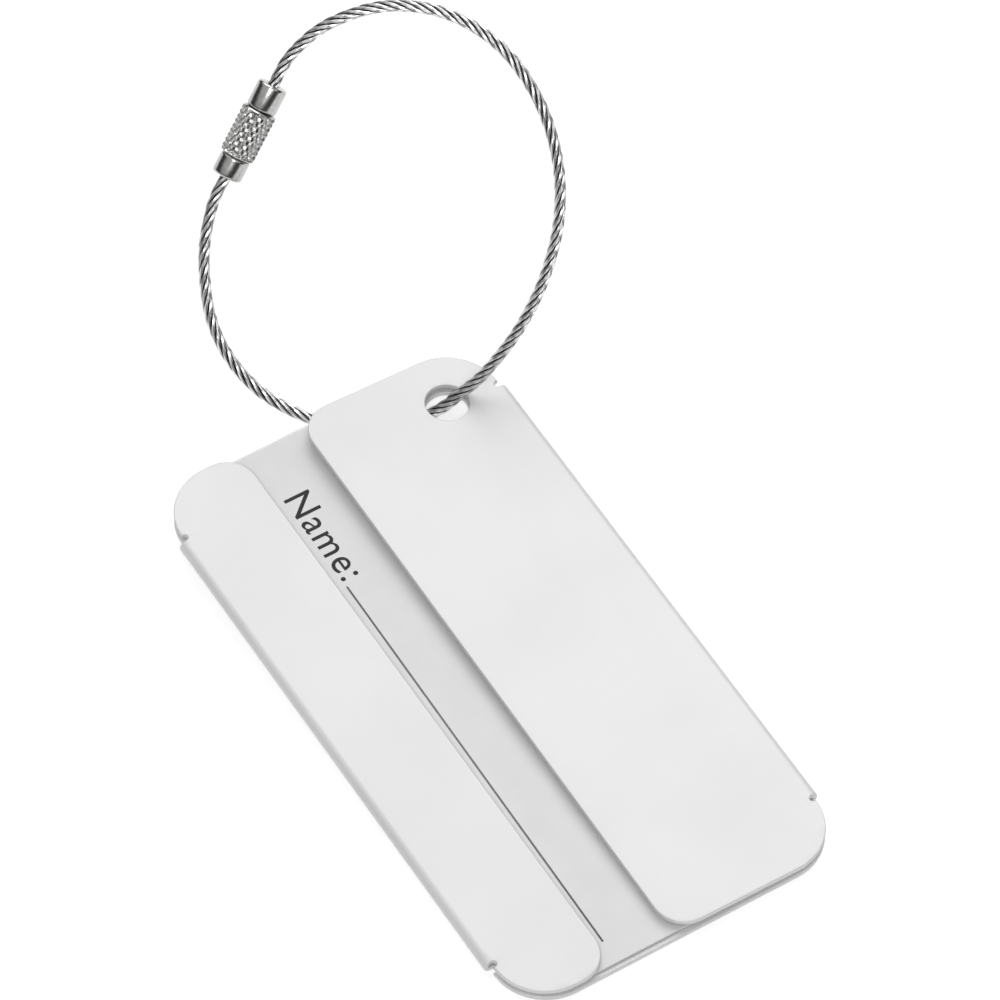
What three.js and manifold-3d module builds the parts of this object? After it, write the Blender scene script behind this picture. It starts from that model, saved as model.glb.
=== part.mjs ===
// A folded-sheet luggage tag with a name card and a screw-lock wire loop.
// Units are millimetres. +Z is up and z = 0 is the surface that the tag lies on. +Y runs along the
// tag's long axis towards its hole, +X runs across it towards the wide flap's fold, and the origin is
// below the middle of the tag.
import * as THREE from 'three';
import { mergeVertices } from 'three/addons/utils/BufferGeometryUtils.js';
import Module from 'manifold-3d';

const wasm = await Module();
wasm.setup();

// ---- Driving dimensions -------------------------------------------------------------------------

// Holder: one sheet, folded over the front along both long sides.
const TAG_LENGTH = 85;
const TAG_WIDTH = 46;
const SHEET = 0.7;              // sheet thickness
const POCKET = 0.6;             // clear height between the back and the flaps, at the folds
const WIDE_FLAP = 25.2;         // from the right fold's outside to the wide flap's free edge
const NARROW_FLAP = 12.8;       // from the left fold's outside to the narrow flap's free edge
const CORNER_R = 7;             // outer corners
const CORNER_INSET = 0.8;       // from the folds' outside to the unfolded corners beside them
const FREE_CORNER_R = 4;        // corners at the flaps' free edges
const RELIEF_AT = 7.4;          // from each short edge to the middle of a bend relief
const RELIEF_W = 0.8;           // bend relief width
const BEND_THINNING = 0.03;     // sheet thickness lost round each fold
const FOLD_LEG = 0.4;           // flat stretch that a fold shares with the plates beside it
const WIDE_LEAN_BOTTOM = 0.9;   // degrees that the wide flap stands open, at the bottom edge
const WIDE_LEAN_TOP = 3.0;      // and at the hole end
const NARROW_LEAN = 1.4;        // degrees that the narrow flap stands open
const HOLE_D = 5.4;
const HOLE_FROM_SIDE = 7.9;     // hole centre to the right fold's outside
const HOLE_FROM_TOP = 6.9;      // hole centre to the top edge
const TAG_TILT = 1.6;           // degrees: the cable under the hole end lifts it

// Name card, slid into the folds from the bottom edge.
const CARD_T = 0.3;
const CARD_EDGE_GAP = 0.6;      // card to the back's edge all round
const CARD_HOLE_GAP = 1.0;      // card's notch to the hole
const CARD_NOTCH_R = 2;         // corner of that notch

// Wire loop.
const CABLE_D = 1.5;
const CABLE_SIDES = 8;
const CABLE_STEPS = 76;
const CABLE_END_GAP = 0.3;      // cable solid to the face of each ferrule

// Screw lock, along its own axis from the swivel end to the screw end.
const LOCK_START = [2.6, 108.3, 24.4];   // outer face of the swivel ferrule
const LOCK_END = [11.4, 111.5, 32.8];    // direction of the axis: towards the threaded ferrule
const FERRULE_D = 3.8;
const SWIVEL_FERRULE_L = 2.75;
const THREADED_FERRULE_L = 3.4;
const NUT_D = 4.4;
const NUT_L = 6.3;
const LOCK_GAP = 0.05;          // nut to each ferrule
const RUNNING = 0.08;           // radial clearance of everything that turns or slides in the nut
const STUD_D = 2.4;
const STUD_TIP_GAP = 0.85;      // stud's tip to the pin's head
const PIN_D = 1.4;              // swivel pin's shank
const PIN_HEAD_L = 0.8;
const PIN_IN_FERRULE = 0.9;     // shank length held in the swivel ferrule
const PIN_FIT = 0.05;           // shank and cable to their bores in the ferrules
const NUT_LIP = 1.0;            // thickness of the nut's floor, which the pin's head holds
const FERRULE_WALL = 0.4;       // wall between the swivel ferrule's two bores
const RIM_R = 0.35;             // rounded rims of ferrules and nut

// ---- Values worked out from them ----------------------------------------------------------------

const THICKNESS = 2 * SHEET + POCKET;
const FOLD_OUT = THICKNESS / 2;
const FOLD_IN = POCKET / 2;
const FOLD_X = TAG_WIDTH / 2 - FOLD_OUT;
const WIDE_EDGE_X = TAG_WIDTH / 2 - WIDE_FLAP;
const NARROW_EDGE_X = NARROW_FLAP - TAG_WIDTH / 2;
const HOLE_X = TAG_WIDTH / 2 - HOLE_FROM_SIDE;
const HOLE_Y = TAG_LENGTH - HOLE_FROM_TOP;
const CORNER_X = TAG_WIDTH / 2 - CORNER_INSET;
const FLANK_STEPS = 8;          // stretches along each long edge
const ARC_STEPS = 10;           // segments in a rounded corner

// ---- Helpers -------------------------------------------------------------------------------------

function solid(geometry) {
  const bare = geometry.index ? geometry.toNonIndexed() : geometry.clone();
  bare.deleteAttribute('normal');
  bare.deleteAttribute('uv');
  const merged = mergeVertices(bare, 1e-4);
  const vertProperties = new Float32Array(merged.attributes.position.array);
  const triVerts = new Uint32Array(merged.index.array);
  return new wasm.Manifold(new wasm.Mesh({ numProp: 3, vertProperties, triVerts }));
}

function geometryOf(manifold) {
  const mesh = manifold.getMesh();
  const geometry = new THREE.BufferGeometry();
  geometry.setAttribute('position', new THREE.BufferAttribute(mesh.vertProperties, 3));
  geometry.setIndex(new THREE.BufferAttribute(mesh.triVerts, 1));
  geometry.computeVertexNormals();
  return geometry;
}

function union(geometries) {
  return geometries.map(solid).reduce((sum, next) => sum.add(next));
}

// Upright prism of an outline given as [x, y] points, from z = low to z = high.
function prism(points, low, high) {
  const shape = new THREE.Shape(points.map(([x, y]) => new THREE.Vector2(x, y)));
  const geometry = new THREE.ExtrudeGeometry(shape, { depth: high - low, bevelEnabled: false });
  return geometry.translate(0, 0, low);
}

// Points of a circular arc, angles in degrees.
function arc(cx, cy, r, from, to, steps = ARC_STEPS) {
  return Array.from({ length: steps + 1 }, (_, i) => {
    const angle = THREE.MathUtils.degToRad(from + (to - from) * i / steps);
    return [cx + r * Math.cos(angle), cy + r * Math.sin(angle)];
  });
}

// Evenly spaced points up a long edge at x, without its two ends.
function flank(x, from, to) {
  return Array.from({ length: FLANK_STEPS - 1 }, (_, i) => [x, from + (to - from) * (i + 1) / FLANK_STEPS]);
}

function mirrorX(points) {
  return points.map(([x, y]) => [-x, y]).reverse();
}

// ---- Holder sheet --------------------------------------------------------------------------------

// Right-hand outline of a plate: a rounded corner, the nick of a bend relief beside it, and the fold's
// tangent line between the two reliefs. Runs from the bottom edge to the top edge.
function foldedSide() {
  const low = RELIEF_AT - RELIEF_W / 2;
  const high = RELIEF_AT + RELIEF_W / 2;
  const cornerEnd = Math.asin(Math.min(low - CORNER_R, 0) / CORNER_R);
  const straight = low > CORNER_R ? [[CORNER_X, low]] : [];
  const lowerHalf = [
    ...arc(CORNER_X - CORNER_R, CORNER_R, CORNER_R, -90, THREE.MathUtils.radToDeg(cornerEnd)),
    ...straight,
    ...arc(FOLD_X, RELIEF_AT, RELIEF_W / 2, 270, 90, 6),
  ];
  const upperHalf = lowerHalf.map(([x, y]) => [x, TAG_LENGTH - y]).reverse();
  return [...lowerHalf, ...flank(FOLD_X, high, TAG_LENGTH - high), ...upperHalf];
}

function backPlate() {
  return prism([...foldedSide(), ...mirrorX(foldedSide())], 0, SHEET);
}

// A flap as it lies before it is sprung open: the folded side on the right, the free edge on the left.
function flapOutline(edgeX) {
  const r = FREE_CORNER_R;
  return [
    ...foldedSide(),
    ...arc(edgeX + r, TAG_LENGTH - r, r, 90, 180),
    ...flank(edgeX, TAG_LENGTH - r, r),
    ...arc(edgeX + r, r, r, 180, 270),
  ];
}

// Half a turn of sheet along the right fold, thinned a little by the bend, with short legs that run
// into the back and the flap.
function foldStrip() {
  const skin = BEND_THINNING / 2;
  const outer = arc(0, FOLD_OUT, FOLD_OUT - skin, -90, 90);
  const inner = arc(0, FOLD_OUT, FOLD_IN + skin, 90, -90);
  const section = [
    [-FOLD_LEG, skin], ...outer, [-FOLD_LEG, THICKNESS - skin],
    [-FOLD_LEG, THICKNESS - SHEET + skin], ...inner, [-FOLD_LEG, SHEET - skin],
  ];
  const shape = new THREE.Shape(section.map(([x, z]) => new THREE.Vector2(x, z)));
  const start = RELIEF_AT + RELIEF_W / 2;
  const length = TAG_LENGTH - 2 * start;
  const strip = new THREE.ExtrudeGeometry(shape, { depth: length, steps: FLANK_STEPS, bevelEnabled: false });
  strip.rotateX(Math.PI / 2);
  return strip.translate(FOLD_X, start + length, 0);
}

// Springs a piece open: turns its points about the right fold by an angle that changes evenly from
// the bottom edge to the top. share(x, z) is the part of the turn that a point takes.
function springOpen(geometry, leanBottom, leanTop, share) {
  const position = geometry.attributes.position;
  for (let i = 0; i < position.count; i += 1) {
    const x = position.getX(i) - FOLD_X;
    const z = position.getZ(i) - FOLD_OUT;
    const along = position.getY(i) / TAG_LENGTH;
    const lean = THREE.MathUtils.degToRad(leanBottom + (leanTop - leanBottom) * along);
    const turn = -lean * share(x, z);
    position.setX(i, FOLD_X + x * Math.cos(turn) - z * Math.sin(turn));
    position.setZ(i, FOLD_OUT + x * Math.sin(turn) + z * Math.cos(turn));
  }
  return geometry;
}

// Round the bend the turn grows with the angle from the back plate; the legs take none or all of it.
function bendShare(x, z) {
  const legs = z > 0 ? 1 : 0;
  return x > 0 ? Math.atan2(z, x) / Math.PI + 0.5 : legs;
}

function flapAndFold(edgeX, leanBottom, leanTop) {
  const flap = prism(flapOutline(edgeX), THICKNESS - SHEET, THICKNESS);
  return [
    springOpen(flap, leanBottom, leanTop, () => 1),
    springOpen(foldStrip(), leanBottom, leanTop, bendShare),
  ];
}

// The left side is made on the right, then mirrored; a mirrored mesh has its triangles turned back.
function mirroredGeometry(geometry) {
  const mirrored = geometry.index ? geometry.toNonIndexed() : geometry.clone();
  mirrored.scale(-1, 1, 1);
  const position = mirrored.attributes.position;
  for (let i = 0; i < position.count; i += 3) {
    const second = new THREE.Vector3().fromBufferAttribute(position, i + 1);
    const third = new THREE.Vector3().fromBufferAttribute(position, i + 2);
    position.setXYZ(i + 1, third.x, third.y, third.z);
    position.setXYZ(i + 2, second.x, second.y, second.z);
  }
  return mirrored;
}

function holderSheet() {
  const wide = flapAndFold(WIDE_EDGE_X, WIDE_LEAN_BOTTOM, WIDE_LEAN_TOP);
  const narrow = flapAndFold(-NARROW_EDGE_X, NARROW_LEAN, NARROW_LEAN).map(mirroredGeometry);
  const hole = prism(arc(HOLE_X, HOLE_Y, HOLE_D / 2, 0, 360, 32).slice(0, -1), -1, THICKNESS + 4);
  return geometryOf(union([backPlate(), ...wide, ...narrow]).subtract(solid(hole)));
}

// ---- Name card -----------------------------------------------------------------------------------

// A plain card whose corners follow the back's, with one corner cut away, clear of hole and cable.
function nameCard() {
  const side = CORNER_X - CARD_EDGE_GAP;
  const bottom = CARD_EDGE_GAP;
  const top = TAG_LENGTH - CARD_EDGE_GAP;
  const r = CORNER_R - CARD_EDGE_GAP;
  const notchX = HOLE_X - HOLE_D / 2 - CARD_HOLE_GAP;
  const notchY = HOLE_Y - HOLE_D / 2 - CARD_HOLE_GAP;
  const outline = [
    ...arc(side - r, bottom + r, r, -90, 0),
    [side, notchY],
    ...arc(notchX + CARD_NOTCH_R, notchY + CARD_NOTCH_R, CARD_NOTCH_R, 270, 180, 5),
    [notchX, top],
    ...arc(-side + r, top - r, r, 90, 180),
    ...arc(-side + r, bottom + r, r, 180, 270),
  ];
  const low = SHEET + (POCKET - CARD_T) / 2;
  return prism(outline, low, low + CARD_T);
}

// ---- Screw lock ----------------------------------------------------------------------------------

// Closed ring or rod from [radius, height] points; heights run along the lock's axis.
function turned(profile) {
  const points = profile.map(([r, h]) => new THREE.Vector2(r, h));
  const closed = profile[0][0] === 0 ? points : [...points, points[0].clone()];
  const geometry = new THREE.LatheGeometry(closed, 32);
  return geometry.rotateX(Math.PI / 2);
}

// Rounded outer rim from the face inwards, at height h; up is +1 when the face looks along the axis.
function rim(radius, h, up) {
  const inset = RIM_R * (1 - Math.SQRT1_2);
  return [[radius - RIM_R, h], [radius - inset, h - up * inset], [radius, h - up * RIM_R]];
}

const NUT_START = SWIVEL_FERRULE_L + LOCK_GAP;
const SCREW_START = NUT_START + NUT_L + LOCK_GAP;
const HEAD_START = NUT_START + NUT_LIP + LOCK_GAP;
const HEAD_END = HEAD_START + PIN_HEAD_L;
const BORE_R = STUD_D / 2 + RUNNING;
const PIN_BORE = SWIVEL_FERRULE_L - PIN_IN_FERRULE - PIN_FIT;
const CRIMP_R = CABLE_D / 2 + PIN_FIT;
const CRIMP_DEPTH = PIN_BORE - FERRULE_WALL;   // depth of the cable's bore in each ferrule

// Ferrule crimped on the cable's standing end, bored from both faces with a wall between.
function swivelFerrule() {
  const r = FERRULE_D / 2;
  const pinR = PIN_D / 2 + PIN_FIT;
  return turned([
    [0, CRIMP_DEPTH], [CRIMP_R, CRIMP_DEPTH], [CRIMP_R, 0],
    ...rim(r, 0, -1),
    ...rim(r, SWIVEL_FERRULE_L, 1).reverse(),
    [pinR, SWIVEL_FERRULE_L], [pinR, PIN_BORE], [0, PIN_BORE],
  ]);
}

// Headed pin: its head turns inside the nut, its shank passes the nut's floor into the ferrule.
function swivelPin() {
  const r = PIN_D / 2;
  const headR = BORE_R - RUNNING - PIN_FIT;
  return turned([
    [0, SWIVEL_FERRULE_L - PIN_IN_FERRULE], [r, SWIVEL_FERRULE_L - PIN_IN_FERRULE],
    [r, HEAD_START], [headR, HEAD_START], [headR, HEAD_END], [0, HEAD_END],
  ]);
}

function knurledNut() {
  const lipR = PIN_D / 2 + RUNNING;
  const end = NUT_START + NUT_L;
  return turned([
    [lipR, NUT_START],
    ...rim(NUT_D / 2, NUT_START, -1),
    ...rim(NUT_D / 2, end, 1).reverse(),
    [BORE_R, end], [BORE_R, NUT_START + NUT_LIP], [lipR, NUT_START + NUT_LIP],
  ]);
}

// Ferrule crimped on the cable's free end, turned in one piece with its threaded stud.
function threadedFerrule() {
  const end = SCREW_START + THREADED_FERRULE_L;
  const tip = HEAD_END + STUD_TIP_GAP;
  const r = FERRULE_D / 2;
  const chamfer = 0.3;
  return turned([
    [0, tip], [STUD_D / 2 - chamfer, tip], [STUD_D / 2, tip + chamfer], [STUD_D / 2, SCREW_START],
    ...rim(r, SCREW_START, -1),
    ...rim(r, end, 1).reverse(),
    [CRIMP_R, end], [CRIMP_R, end - CRIMP_DEPTH], [0, end - CRIMP_DEPTH],
  ]);
}

// ---- Cable ---------------------------------------------------------------------------------------

// Middle of the cable between the two ferrules: up from the threaded ferrule, over the top, down
// through the hole, under the tag and up again to the swivel ferrule.
const CABLE_ROUTE = [
  [13.1, 112.1, 34.5], [15.3, 112.4, 36.2], [19.3, 111.7, 38.9], [25.5, 108.6, 41.5],
  [30.8, 103.4, 42.1], [34.3, 97.1, 40.4], [35.6, 90.7, 36.7], [35.0, 85.1, 31.7],
  [32.8, 80.9, 26.0], [29.2, 78.2, 19.9], [24.9, 77.0, 13.9], [20.1, 77.2, 8.1],
  [16.7, 78.2, 4.5], [15.0, 78.8, 2.8], [13.0, 79.6, 1.5], [10.8, 80.5, 0.9],
  [8.5, 81.5, 0.8], [6.3, 82.7, 0.8], [2.1, 85.4, 1.4], [-1.3, 88.7, 2.9],
  [-3.8, 92.4, 5.2], [-5.1, 96.2, 8.2], [-5.1, 99.8, 11.7], [-3.1, 104.3, 17.3],
  [-0.6, 106.8, 21.1], [0.9, 107.7, 22.8],
];

const lockStart = new THREE.Vector3(...LOCK_START);
const lockAxis = new THREE.Vector3(...LOCK_END).sub(lockStart).normalize();

function lockPoint(height) {
  return lockStart.clone().addScaledVector(lockAxis, height);
}

function cable() {
  const first = lockPoint(SCREW_START + THREADED_FERRULE_L + CABLE_END_GAP);
  const last = lockPoint(-CABLE_END_GAP);
  const between = CABLE_ROUTE.map((point) => new THREE.Vector3(...point));
  const path = new THREE.CatmullRomCurve3([first, ...between, last], false, 'centripetal');
  const section = arc(0, 0, CABLE_D / 2, 0, 360, CABLE_SIDES).slice(0, -1);
  const shape = new THREE.Shape(section.map(([x, y]) => new THREE.Vector2(x, y)));
  return new THREE.ExtrudeGeometry(shape, { steps: CABLE_STEPS, bevelEnabled: false, extrudePath: path });
}

// ---- Assembly ------------------------------------------------------------------------------------

function part(name, geometry, color, roughness, metalness) {
  const mesh = new THREE.Mesh(geometry, new THREE.MeshStandardMaterial({ color, roughness, metalness }));
  mesh.name = name;
  return mesh;
}

function tagGroup() {
  const tag = new THREE.Group();
  tag.add(part('holder_sheet', holderSheet(), 0xe4e5e6, 0.45, 0.6));
  tag.add(part('name_card', nameCard(), 0xe0e0de, 0.85, 0));
  tag.rotation.x = THREE.MathUtils.degToRad(TAG_TILT);
  return tag;
}

function lockGroup() {
  const lock = new THREE.Group();
  lock.add(part('swivel_ferrule', swivelFerrule(), 0xb9bbbd, 0.25, 1));
  lock.add(part('swivel_pin', swivelPin(), 0xa9abad, 0.35, 1));
  lock.add(part('knurled_nut', knurledNut(), 0xc2c3c4, 0.3, 1));
  lock.add(part('threaded_ferrule', threadedFerrule(), 0xb9bbbd, 0.25, 1));
  lock.position.copy(lockStart);
  lock.quaternion.setFromUnitVectors(new THREE.Vector3(0, 0, 1), lockAxis);
  return lock;
}

const tag = tagGroup();
const footprint = new THREE.Box3().setFromObject(tag).getCenter(new THREE.Vector3());
const object = new THREE.Group();
object.add(tag, lockGroup(), part('cable', cable(), 0x8d8f91, 0.35, 1));
object.position.set(-footprint.x, -footprint.y, 0);

export default object;
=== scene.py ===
"""Luggage tag: a folded aluminium holder, its name card and a wire loop with a screw lock.

Lengths in this file are millimetres in the drawing frame: the tag's bottom edge runs through the
origin, +Y goes up the tag towards its hole and +Z is up. Placement turns them into the row frame.
"""
import logging
from dataclasses import dataclass, field
from enum import Enum
from typing import Callable

import bpy
import numpy as np
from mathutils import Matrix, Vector
from mathutils.geometry import delaunay_2d_cdt


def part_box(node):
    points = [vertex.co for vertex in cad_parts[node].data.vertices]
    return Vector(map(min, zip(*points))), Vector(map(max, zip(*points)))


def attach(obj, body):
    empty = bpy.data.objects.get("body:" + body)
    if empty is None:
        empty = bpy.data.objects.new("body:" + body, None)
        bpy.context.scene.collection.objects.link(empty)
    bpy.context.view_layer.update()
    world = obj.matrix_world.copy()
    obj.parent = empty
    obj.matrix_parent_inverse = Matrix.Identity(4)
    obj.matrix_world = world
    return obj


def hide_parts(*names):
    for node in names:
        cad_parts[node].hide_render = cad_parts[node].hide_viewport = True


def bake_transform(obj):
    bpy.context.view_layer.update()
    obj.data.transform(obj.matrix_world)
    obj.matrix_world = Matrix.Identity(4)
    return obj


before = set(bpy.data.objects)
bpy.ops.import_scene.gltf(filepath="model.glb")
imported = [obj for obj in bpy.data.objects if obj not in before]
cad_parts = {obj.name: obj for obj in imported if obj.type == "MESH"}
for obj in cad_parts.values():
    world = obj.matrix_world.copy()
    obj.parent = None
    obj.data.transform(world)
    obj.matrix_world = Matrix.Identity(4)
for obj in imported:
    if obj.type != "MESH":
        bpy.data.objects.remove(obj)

log = logging.getLogger("luggage_tag")
Array = np.ndarray
Mapping = Callable[[Array, float], Array]


# ---- Placement -----------------------------------------------------------------------------------


@dataclass(frozen=True)
class Placement:
    """Turns drawing millimetres into row metres, for the tag and for the loop."""

    tilt_deg: float = 1.6
    tag_length: float = 85.0

    @property
    def shift_y(self) -> float:
        """Distance in mm from the drawing's origin to the row's, read off the holder's box."""
        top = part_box("holder_sheet")[1].y * 1000.0
        return self.tag_length * float(np.cos(np.radians(self.tilt_deg))) - top

    def loop(self, points: Array) -> Array:
        """Drawing points that don't tilt with the tag: p / 1000 after the shift along Y.

        Args:
            points: N x 3 array in mm.

        Returns:
            N x 3 array in metres, in the row frame.
        """
        return (points - np.array([0.0, self.shift_y, 0.0])) / 1000.0

    def tag(self, points: Array) -> Array:
        """Tag points: turned about X by the tilt, then placed as the loop's are.

        Args:
            points: N x 3 array in mm, with the tag lying flat.

        Returns:
            N x 3 array in metres, in the row frame.
        """
        c, s = np.cos(np.radians(self.tilt_deg)), np.sin(np.radians(self.tilt_deg))
        turn = np.array([[1, 0, 0], [0, c, -s], [0, s, c]])
        return self.loop(points @ turn.T)


PLACE = Placement()


# ---- Mesh helpers --------------------------------------------------------------------------------


@dataclass
class Shell:
    """Vertices and faces that grow piece by piece into one mesh."""

    points: list[Array] = field(default_factory=list)
    faces: list[Array] = field(default_factory=list)
    count: int = 0

    def add(self, points: Array, *faces: Array) -> int:
        """Adds points with their faces.

        Args:
            points: N x 3 array.
            faces: integer arrays of three or four columns, numbered within points.

        Returns:
            The number of the first added point in the whole shell.
        """
        start = self.count
        self.points.append(points)
        self.faces.extend(f + start for f in faces)
        self.count += len(points)
        return start

    def piece(self, name: str, place: Callable[[Array], Array]) -> bpy.types.Object:
        """Makes the Blender object, smooth all over, with its place in its mesh.

        Args:
            name: the object's name.
            place: turns the shell's points into row metres.

        Returns:
            The new object, linked to the scene.
        """
        mesh = bpy.data.meshes.new(name)
        points = place(np.vstack(self.points))
        mesh.from_pydata(points.tolist(), [], [row for f in self.faces for row in f.tolist()])
        mesh.validate()
        mesh.polygons.foreach_set("use_smooth", np.ones(len(mesh.polygons), bool))
        obj = bpy.data.objects.new(name, mesh)
        bpy.context.scene.collection.objects.link(obj)
        return obj


def grid_faces(rows: int, columns: int, wrap_rows: bool, wrap_columns: bool) -> Array:
    """Quads of a grid: (i, j), (i, j+1), (i+1, j+1), (i+1, j), taken modulo its size where it wraps.

    Args:
        rows: number of rows of points.
        columns: number of points in a row.
        wrap_rows: the last row joins the first.
        wrap_columns: each row is a closed ring.

    Returns:
        Integer array of four columns.
    """
    i, j = np.meshgrid(
        np.arange(rows - (not wrap_rows)), np.arange(columns - (not wrap_columns)), indexing="ij"
    )
    k, m = (i + 1) % rows, (j + 1) % columns
    quads = [i * columns + j, i * columns + m, k * columns + m, k * columns + j]
    return np.stack(quads, -1).reshape(-1, 4)


def fan(ring_start: int, size: int, pole: int, flip: bool) -> Array:
    """Triangles from each edge of a ring to one pole point.

    Args:
        ring_start: number of the ring's first point.
        size: points in the ring.
        pole: number of the pole.
        flip: turns the triangles over.

    Returns:
        Integer array of three columns.
    """
    j = np.arange(size)
    a, b = ring_start + j, ring_start + (j + 1) % size
    tri = np.stack([a, b, np.full(size, pole)], -1)
    return tri[:, ::-1] if flip else tri


def arc(cx: float, cy: float, r: float, start: float, end: float, steps: int) -> Array:
    """Points centre + r (cos a, sin a), a going evenly from start to end in degrees."""
    a = np.radians(np.linspace(start, end, steps + 1))
    return np.stack([cx + r * np.cos(a), cy + r * np.sin(a)], -1)


def line(a: tuple[float, float], b: tuple[float, float], spacing: float) -> Array:
    """Points strictly between a and b, about one spacing apart."""
    start, end = np.array(a, float), np.array(b, float)
    n = max(1, int(round(np.linalg.norm(end - start) / spacing)))
    t = np.arange(1, n)[:, None] / n
    return start + (end - start) * t


def inset(loop: Array, distance: float) -> Array:
    """Loop moved inwards by distance: each point goes along the mean of its two edges' normals.

    Args:
        loop: N x 2 array, anticlockwise for an outline and clockwise for a hole.
        distance: how far inwards, in the same units.

    Returns:
        N x 2 array.
    """
    ahead = np.roll(loop, -1, 0) - loop
    ahead /= np.linalg.norm(ahead, axis=1, keepdims=True)
    normal = np.stack([-ahead[:, 1], ahead[:, 0]], -1)
    mean = normal + np.roll(normal, 1, 0)
    mean /= np.linalg.norm(mean, axis=1, keepdims=True)
    stretch = np.sum(mean * normal, axis=1, keepdims=True)
    return loop + mean * distance / np.maximum(stretch, 0.5)


def inside(points: Array, loop: Array) -> Array:
    """Even-odd test of points against a closed loop, by counting the edges to the right of each."""
    x, y = points[:, 0, None], points[:, 1, None]
    x0, y0 = loop[:, 0], loop[:, 1]
    x1, y1 = np.roll(x0, -1), np.roll(y0, -1)
    crosses = (y0 > y) != (y1 > y)
    with np.errstate(divide="ignore", invalid="ignore"):
        at = x0 + (y - y0) * (x1 - x0) / (y1 - y0)
    return np.sum(crosses & (x < at), axis=1) % 2 == 1


@dataclass
class Plate:
    """A sheet of even thickness with rounded cut edges, drawn flat as an outline with holes.

    The two faces are the outline's triangulation mapped at heights +t and -t, and the edge between
    them is a strip of rings: ring a is the outline inset by r (1 - sin a) at height t - r (1 - cos a).
    """

    outline: Array
    holes: list[Array]
    thickness: float
    edge_radius: float
    interior: Array
    edge_steps: int = 3

    def build(self, shell: Shell, mapping: Mapping) -> None:
        """Adds the plate to a shell.

        Args:
            shell: takes the points and faces.
            mapping: turns N x 2 flat points and a height off the middle surface into N x 3 points.
        """
        half, r = self.thickness / 2, self.edge_radius
        loops = [self.outline, *self.holes]
        flat = [inset(loop, r) for loop in loops]
        keep = inside(self.interior, inset(self.outline, 2.2 * r))
        for hole in self.holes:
            keep &= ~inside(self.interior, inset(hole, 2.2 * r))
        points = np.vstack([*flat, self.interior[keep]])
        sizes = np.cumsum([0, *[len(f) for f in flat]])
        edges = np.vstack([
            np.stack([np.arange(a, b), a + (np.arange(a, b) - a + 1) % (b - a)], -1)
            for a, b in zip(sizes[:-1], sizes[1:])
        ])
        made = delaunay_2d_cdt([Vector(p) for p in points.tolist()], edges.tolist(), [], 0, 1e-7)
        verts = np.array([list(v) for v in made[0]])
        back = np.array([orig[0] for orig in made[3]])
        tri = back[np.array([f for f in made[2] if len(f) == 3])]
        middle = points[tri].mean(axis=1)
        good = inside(middle, flat[0])
        for hole in flat[1:]:
            good &= ~inside(middle, hole)
        tri = tri[good]
        a, b, c = (points[tri[:, k]] for k in range(3))
        area = (b - a)[:, 0] * (c - a)[:, 1] - (b - a)[:, 1] * (c - a)[:, 0]
        tri[area < 0] = tri[area < 0][:, ::-1]
        assert len(verts) == len(points)
        top = shell.add(mapping(points, half), tri)
        bottom = shell.add(mapping(points, -half), tri[:, ::-1])
        angles = np.radians(np.linspace(0, 90, self.edge_steps + 1))[1:]
        sides = [(r * (1 - np.sin(a)), half - r * (1 - np.cos(a))) for a in angles]
        sides += [(r * (1 - np.sin(a)), r * (1 - np.cos(a)) - half) for a in angles[::-1]]
        for k, loop in enumerate(loops):
            size = len(loop)
            rings = np.vstack([mapping(inset(loop, d), h) for d, h in sides])
            first = shell.add(rings)
            steps = np.arange(size)
            starts = [top + sizes[k], *[first + n * size for n in range(len(sides))], bottom + sizes[k]]
            for s0, s1 in zip(starts[:-1], starts[1:]):
                ahead = (steps + 1) % size
                quads = np.stack([s0 + steps, s1 + steps, s1 + ahead, s0 + ahead], -1)
                shell.faces.append(quads)


def lattice(x: Array, y: Array, stagger: bool) -> Array:
    """Points of a rectangular lattice.

    Args:
        x: column places.
        y: row places.
        stagger: moves every second row along x by half of the local step.

    Returns:
        N x 2 array.
    """
    gx, gy = np.meshgrid(x, y)
    if stagger:
        gx[1::2] += np.gradient(x) * 0.5
    return np.stack([gx.ravel(), gy.ravel()], -1)


def lathe(shell: Shell, profile: Array, sides: int, ripple: Callable[[Array, Array, Array], Array]) -> None:
    """Surface of revolution about +Z: (r cos a, r sin a, h), r changed by the ripple.

    Args:
        shell: takes the points and faces.
        profile: N x 2 array of radius and height, from the lower pole to the upper one.
        sides: points round the axis.
        ripple: gives the radius from arrays of radius, height and angle.
    """
    a = np.linspace(0, 2 * np.pi, sides, endpoint=False)
    body = profile[1:-1]
    r, h = body[:, 0, None] + 0 * a, body[:, 1, None] + 0 * a
    r = ripple(r, h, a[None, :] + 0 * r)
    points = np.stack([r * np.cos(a), r * np.sin(a), h], -1).reshape(-1, 3)
    poles = np.array([[0, 0, profile[0, 1]], [0, 0, profile[-1, 1]]])
    n = len(body)
    shell.add(
        np.vstack([points, poles]),
        grid_faces(n, sides, False, True),
        fan(0, sides, n * sides, True),
        fan((n - 1) * sides, sides, n * sides + 1, False),
    )


def plain(r: Array, h: Array, a: Array) -> Array:
    """No ripple: the radius as it is."""
    return r


# ---- Finishes ------------------------------------------------------------------------------------


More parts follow.
